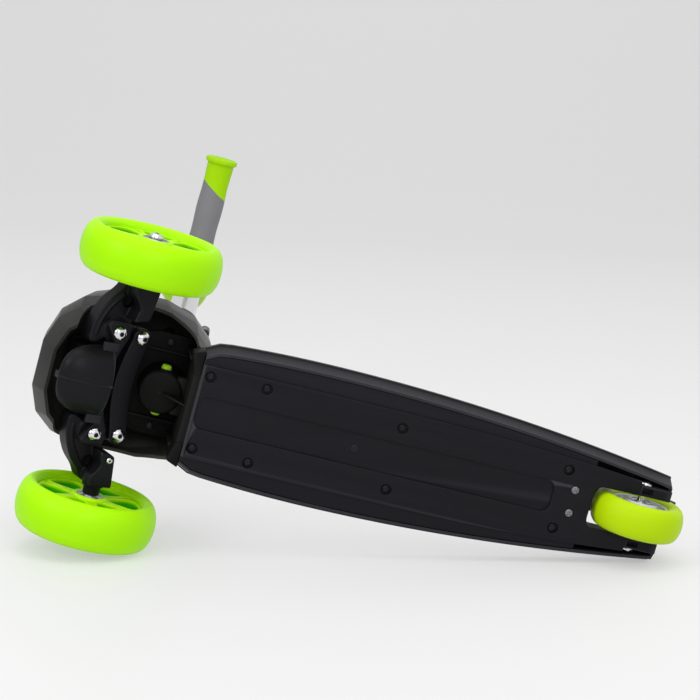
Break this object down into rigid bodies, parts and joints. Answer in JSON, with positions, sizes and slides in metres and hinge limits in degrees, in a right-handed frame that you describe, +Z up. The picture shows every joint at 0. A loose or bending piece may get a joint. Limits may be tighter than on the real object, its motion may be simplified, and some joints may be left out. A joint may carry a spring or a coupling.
{
  "type": "kick scooter",
  "caption": "Lean-to-steer kick scooter with two wheels in front and one behind, a narrow plastic deck, a height-adjustable T handlebar and a rear foot brake.",
  "frame": {"origin": "on the ground, at the middle of the scooter's length and width", "axes": "+X forwards, +Y to the rider's left, +Z up"},
  "size_m": [0.565, 0.2784, 0.7469],
  "materials": {
    "black_plastic": "satin, moulded",
    "gloss_black_plastic": "polished",
    "lime_plastic": "smooth",
    "lime_tyre": "cast polyurethane",
    "grey_rubber": "soft, matt",
    "pale_plastic": "smooth",
    "chrome": "polished",
    "zinc_steel": "zinc plated",
    "black_steel": "blackened",
    "silver_aluminium": "silver, satin"
  },
  "bodies": {
    "frame": {"deck_top": "black_plastic", "deck_bottom": "black_plastic", "deck_screw_front_left": "black_steel", "deck_screw_front_right": "black_steel", "deck_screw_fore_left": "black_steel", "deck_screw_fore_right": "black_steel", "deck_screw_mid_left": "black_steel", "deck_screw_mid_right": "black_steel", "deck_screw_rear_left": "black_steel", "deck_screw_rear_right": "black_steel", "brake_screw_left": "zinc_steel", "brake_screw_right": "zinc_steel", "brake_bracket": "black_plastic", "brake_pin": "zinc_steel", "brake_spring": "zinc_steel", "front_chassis": "black_plastic", "front_casing": "gloss_black_plastic", "casing_screw_left": "black_steel", "casing_screw_right": "black_steel", "carrier": "black_plastic", "carrier_bolt": "zinc_steel", "carrier_cover": "black_plastic", "kingpin_left": "chrome", "kingpin_right": "chrome", "rear_axle_bolt": "chrome", "rear_axle_nut": "chrome", "lower_tube": "silver_aluminium", "height_collar": "black_plastic", "collar_bolt": "zinc_steel", "button_spring": "zinc_steel"},
    "knuckle_left": {"knuckle_left": "black_plastic", "return_spring_left": "zinc_steel", "front_axle_bolt_left": "chrome", "tie_rod_bolt_left": "chrome"},
    "knuckle_right": {"knuckle_right": "black_plastic", "return_spring_right": "zinc_steel", "front_axle_bolt_right": "chrome", "tie_rod_bolt_right": "chrome"},
    "tie_rod": {"tie_rod": "black_plastic"},
    "front_wheel_left": {"front_tyre_left": "lime_tyre", "front_core_left": "lime_plastic", "front_bearing_left_outer": "zinc_steel", "front_bearing_left_inner": "zinc_steel"},
    "front_wheel_right": {"front_tyre_right": "lime_tyre", "front_core_right": "lime_plastic", "front_bearing_right_outer": "zinc_steel", "front_bearing_right_inner": "zinc_steel"},
    "rear_wheel": {"rear_tyre": "lime_tyre", "rear_core": "pale_plastic", "rear_bearing_left": "zinc_steel", "rear_bearing_right": "zinc_steel"},
    "handlebar": {"upper_tube": "silver_aluminium", "bar_joint": "lime_plastic", "cross_bar": "silver_aluminium", "grip_left": "grey_rubber", "grip_right": "grey_rubber"},
    "collar_lever": {"collar_lever": "lime_plastic"},
    "brake": {"brake_fender": "black_plastic"},
    "button_left": {"stem_button_left": "lime_plastic"},
    "button_right": {"stem_button_right": "lime_plastic"}
  },
  "joints": [
    {"name": "steer_left", "type": "hinge", "parent": "frame", "child": "knuckle_left", "pos_m": [0.223, 0.0441, 0.0555], "axis": [0.4226, 0, 0.9063], "range_deg": [-18, 18], "stiffness_Nm_per_rad": 6, "deforming": ["return_spring_left"]},
    {"name": "steer_right", "type": "hinge", "parent": "frame", "child": "knuckle_right", "pos_m": [0.223, -0.0441, 0.0555], "axis": [0.4226, 0, 0.9063], "range_deg": [-18, 18], "stiffness_Nm_per_rad": 6, "deforming": ["return_spring_right"]},
    {"name": "tie_rod_pivot", "type": "hinge", "parent": "knuckle_left", "child": "tie_rod", "pos_m": [0.20261, 0.0426, 0.06501], "axis": [0.4226, 0, 0.9063], "range_deg": [-19, 19]},
    {"name": "spin_left", "type": "hinge", "parent": "knuckle_left", "child": "front_wheel_left", "pos_m": [0.2132, 0.1123, 0.06], "axis": [0, 1, 0], "continuous": true},
    {"name": "spin_right", "type": "hinge", "parent": "knuckle_right", "child": "front_wheel_right", "pos_m": [0.2132, -0.1123, 0.06], "axis": [0, 1, 0], "continuous": true},
    {"name": "spin_rear", "type": "hinge", "parent": "frame", "child": "rear_wheel", "pos_m": [-0.2425, 0, 0.04], "axis": [0, 1, 0], "continuous": true},
    {"name": "height_slide", "type": "slide", "parent": "frame", "child": "handlebar", "axis": [-0.0847, 0, 0.9964], "range_m": [-0.12, 0.03]},
    {"name": "collar_lever_pivot", "type": "hinge", "parent": "frame", "child": "collar_lever", "pos_m": [0.12445, -0.0153, 0.37868], "axis": [0.0847, 0, -0.9964], "range_deg": [0, 88]},
    {"name": "brake_hinge", "type": "hinge", "parent": "frame", "child": "brake", "pos_m": [-0.1915, 0, 0.0625], "axis": [0, -1, 0], "range_deg": [0, 4], "stiffness_Nm_per_rad": 1, "springref_deg": -11.46, "deforming": ["brake_spring"]},
    {"name": "button_left_push", "type": "slide", "parent": "frame", "child": "button_left", "axis": [0, -1, 0], "range_m": [0, 0.0076], "stiffness_N_per_m": 400, "springref_m": -0.004, "deforming": ["button_spring"]},
    {"name": "button_right_push", "type": "slide", "parent": "frame", "child": "button_right", "axis": [0, 1, 0], "range_m": [0, 0.0076], "stiffness_N_per_m": 400, "springref_m": -0.004, "deforming": ["button_spring"]}
  ],
  "couplings": [
    {"joint": "steer_right", "follows": "steer_left", "ratio": 1},
    {"joint": "tie_rod_pivot", "follows": "steer_left", "ratio": -1.035}
  ]
}
